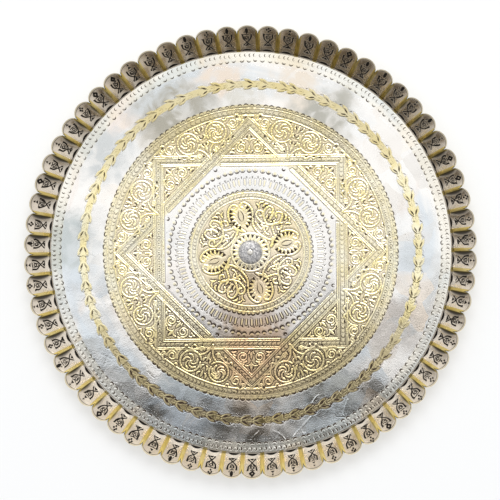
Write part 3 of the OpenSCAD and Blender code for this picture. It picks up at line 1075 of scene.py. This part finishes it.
def silvered_brass():
    """Worn silver plate: tarnish, brass on the raised work, and grime with painted shade in the grooves."""
    n = surface("silvered_brass")
    gold, dark, ground = n.tones()
    x, y, reach = n.place()
    silver = n.mix(n.times(ground, 0.85), tarnished_silver(n, y, reach), MATTED)
    brass = n.mix(n.band(n.noise(40, 2), 0.4, 0.65), BRASS, PALE_BRASS)
    wear = n.times(gold, n.band(n.noise(60, 3, 0.5, 2.0), 0.2, 0.7, 0.75, 1.1))
    # Painted sheen: the brass is paler towards the tray's left and right sides.
    side_sheen = n.band(n.math("ABSOLUTE", x, 0.0), 0.03, 0.09, 0.05, 0.22)
    metal = n.mix(wear, silver, n.mix(side_sheen, brass, SHEEN_PALE_BRASS))
    # The worked brass turns olive towards the top and bottom of the tray.
    ends = n.math("MAXIMUM", n.band(y, -0.052, -0.104, 0, 0.75), n.band(y, 0.070, 0.115, 0, 0.45))
    worked = n.math("MAXIMUM", gold, ground)
    metal = n.mix(n.times(n.band(worked, 0.1, 0.6), ends), metal, OLIVE)
    cloud = n.band(n.noise(55, 3), 0.35, 0.6, 0.35, 0.9)
    metal = n.mix(n.times(n.near(n.shaken(0.03), *COPPER_SPOT), cloud), metal, COPPER)
    below = n.times(n.near(n.shaken(0.02), *BROWN_SPOT), worked)
    metal = n.mix(n.times(below, 0.34), metal, COPPER)
    dark = n.band(dark, 0.05, 0.8)
    rough = n.band(n.noise(35, 4, 0.6, 9.0), 0.35, 0.65, 0.07, 0.15)
    rough = n.math("ADD", rough, n.times(ground, 0.10))
    rough = n.blend(n.band(reach, EDGE_ROWS - 0.0005, EDGE_ROWS + 0.0005), rough, 0.15)
    n.feed(n.shader, {"Specular IOR Level": DIRT_GLOSS})
    return n.finish(n.mix(dark, metal, GRIME_AND_SHADE), n.math("SUBTRACT", 1.0, n.times(dark, 0.85)),
                    n.blend(dark, rough, 0.75), n.noise(700, 3), 0.04, 0.0004)


def rim_brass():
    """The rim: silvered hollows with painted highlights near the well and at the tray's sides, bright brass
    ridges and black-filled engraving, with painted shade.
    """
    n = surface("rim_brass")
    gold, dark, lip = n.tones()
    x, _, reach = n.place()
    hollow = n.mix(n.band(n.noise(45, 3, 0.8), 0.4, 0.65), (0.82, 0.71, 0.57, 1), (0.77, 0.64, 0.48, 1))
    # Painted highlight: the hollows are lighter near the disc's edge.
    inner = n.band(reach, (WELL_R + 12) * MM, (WELL_R + 3) * MM, 0, 0.75)
    hollow = n.mix(inner, hollow, (0.95, 0.87, 0.75, 1))
    # Painted highlight: the hollows are lighter on the flutes at the tray's left and right sides.
    side_highlight = n.band(n.math("ABSOLUTE", x, 0.0), 0.10, 0.20, 0, 0.7)
    hollow = n.mix(side_highlight, hollow, (0.97, 0.88, 0.76, 1))
    brass = n.mix(n.band(n.noise(70, 2, 0, 3.0), 0.4, 0.65), (0.72, 0.55, 0.17, 1), (0.78, 0.63, 0.26, 1))
    metal = n.mix(lip, n.mix(gold, hollow, brass), EDGE_BRASS)
    dark = n.band(dark, 0.05, 0.9)
    shine = n.math("SUBTRACT", 1.0, n.times(lip, 0.6))
    clean = n.math("SUBTRACT", 1.0, n.times(dark, 0.85))
    rough = n.band(n.noise(50, 4, 0.6, 9.0), 0.35, 0.65, 0.18, 0.28)
    rough = n.blend(lip, n.blend(gold, rough, 0.28), 0.65)
    n.feed(n.shader, {"Specular IOR Level": DIRT_GLOSS})
    return n.finish(n.mix(dark, metal, SOOT_AND_SHADE), n.times(shine, clean), n.blend(dark, rough, 0.8),
                    n.noise(600, 3), 0.05, 0.0004)


def boss_pewter():
    """Cast grey metal with pits and darker oxide."""
    n = surface("boss_pewter")
    pit = n.tones()[0]
    patch = n.band(n.noise(190, 4, 0.5), 0.36, 0.64)
    speck = n.band(n.noise(700, 3), 0.40, 0.62)
    colour = n.mix(speck, n.mix(patch, (0.33, 0.33, 0.34, 1), (0.54, 0.54, 0.54, 1)), (0.70, 0.69, 0.68, 1))
    return n.finish(n.mix(n.times(pit, 0.7), colour, (0.19, 0.19, 0.21, 1)), 0.55,
                    n.band(speck, 0, 1, 0.72, 0.5), n.noise(650, 4), 0.5, 0.0005)


def hammered_brass():
    """The rivet's and the washer's tinned brass."""
    n = surface("rivet_brass")
    colour = n.mix(n.band(n.noise(300, 3, 0.4), 0.4, 0.62), (0.50, 0.48, 0.44, 1), (0.72, 0.70, 0.65, 1))
    return n.finish(colour, 1.0, n.band(n.noise(500, 3), 0.4, 0.6, 0.28, 0.45), n.noise(600, 3), 0.4, 0.0004)


def soft_solder():
    """Dull solder, run in by hand."""
    n = surface("soft_solder")
    colour = n.mix(n.band(n.noise(160, 4, 0.4), 0.4, 0.62), (0.40, 0.41, 0.42, 1), (0.66, 0.67, 0.68, 1))
    return n.finish(colour, 1.0, n.band(n.noise(200, 3), 0.4, 0.6, 0.4, 0.6), n.noise(180, 4), 0.8, 0.001)


# --- Build ---
draw_well()
silver_material = silvered_brass()
rim_material = rim_brass()

for piece in build_well(silver_material):
    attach(piece, "root")
    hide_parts("well_disc")

FLUTES_PER_PIECE = 11
for first in range(0, FLUTES, FLUTES_PER_PIECE):
    piece = build_flutes(first, FLUTES_PER_PIECE, rim_material)
    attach(piece, "root")
    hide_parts("fluted_rim")

boss = build_boss(boss_pewter())
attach(boss, "root")
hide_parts("centre_boss")

for node, make in (("boss_rivet", hammered_brass), ("back_washer", hammered_brass),
                   ("solder_seam", soft_solder)):
    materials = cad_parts[node].data.materials
    materials.clear()
    materials.append(make())

# --- Studio ---
scene = bpy.context.scene
scene.view_settings.view_transform = "Standard"

FLOOR_HALF = 4.0
floor_mesh = bpy.data.meshes.new("floor")
floor_mesh.from_pydata([(x * FLOOR_HALF, y * FLOOR_HALF, 0) for x, y in ((-1, -1), (1, -1), (1, 1), (-1, 1))],
                       [], [(0, 1, 2, 3)])
floor = bpy.data.objects.new("floor", floor_mesh)
scene.collection.objects.link(floor)
pale = surface("pale_floor")
pale.feed(pale.shader, {"Base Color": (0.36, 0.37, 0.38, 1), "Emission Color": (1.0, 1.0, 1.0, 1),
                        "Emission Strength": 0.54, "Roughness": 0.9})
floor_mesh.materials.append(pale.owner)


def area_light(name, place, aim, width, height, power, colour):
    data = bpy.data.lights.new(name, "AREA")
    data.shape = "RECTANGLE"
    data.size, data.size_y = width, height
    data.energy, data.color = power, colour
    light = bpy.data.objects.new(name, data)
    light.location = place
    light.rotation_euler = (Vector(aim) - Vector(place)).to_track_quat("-Z", "Y").to_euler()
    light.visible_camera = False
    scene.collection.objects.link(light)


area_light("window", (0.3, 2.2, 3.2), (0, 0.2, 0), 3.0, 2.0, 100, (1.0, 0.985, 0.96))
area_light("side", (-2.6, 0.8, 2.4), (0, 0, 0), 1.6, 1.6, 12, (0.97, 0.98, 1.0))


def build_world():
    """A studio: a bright ceiling with a dark patch over -Y, and grey walls, dim and warm towards -Y."""
    world = bpy.data.worlds.new("studio")
    n = Nodes(world)
    x, y, z = n.add("SeparateXYZ", {0: n.add("TexCoord").outputs["Generated"]}).outputs[:3]
    lean = n.math("MULTIPLY_ADD", x, 0.5, y)
    rise = n.math("ADD", n.band(lean, -1.0, -0.4, 0.12, 0.48), n.band(lean, -0.3, 0.45, 0.0, 0.28))
    fade = n.blend(n.band(z, 0.03, 0.26), n.band(y, -0.55, -0.1, 0.25, 0.95), 1.0)
    level = n.add("CombineXYZ", {0: n.times(x, 0.6), 1: y}).outputs[0]
    patch = n.vector("DISTANCE", level, (-0.035, -0.115, 0.0))
    ceiling = n.band(patch, 0.068, 0.096, 0.07, 1.13)
    light = n.blend(n.band(z, 0.75, 0.96), n.times(rise, fade), ceiling)
    tint = n.mix(n.band(light, 0.12, 0.55), (1.0, 0.87, 0.70, 1), (1.0, 1.0, 1.0, 1))
    studio = n.add("Background", {"Color": tint, "Strength": light})
    plain = n.add("Background", {"Color": (0.92, 0.93, 0.94, 1)})
    seen = n.add("LightPath").outputs["Is Camera Ray"]
    either = n.add("MixShader", {0: seen, 1: studio.outputs[0], 2: plain.outputs[0]})
    n.add("OutputWorld", {"Surface": either.outputs[0]})
    scene.world = world


build_world()

# The camera looks almost straight down, leaning a little from +X
CAMERA_H = 3.0
FRAME_W = 0.5
SENSOR_W = 36.0
LEAN = math.radians(3.2)
ROLL = math.radians(-0.61)
aim = Vector((0.0006, 0.0023, TRAY_H * MM))
distance = CAMERA_H - TRAY_H * MM
camera_data = bpy.data.cameras.new("camera")
camera_data.sensor_width = SENSOR_W
camera_data.lens = SENSOR_W * distance / FRAME_W
camera_data.clip_start, camera_data.clip_end = 0.1, 20.0
camera = bpy.data.objects.new("camera", camera_data)
camera.location = aim + Vector((math.sin(LEAN), 0, math.cos(LEAN))) * distance
camera.rotation_euler = (Matrix.Rotation(LEAN, 3, "Y") @ Matrix.Rotation(ROLL, 3, "Z")).to_euler()
scene.collection.objects.link(camera)
scene.camera = camera
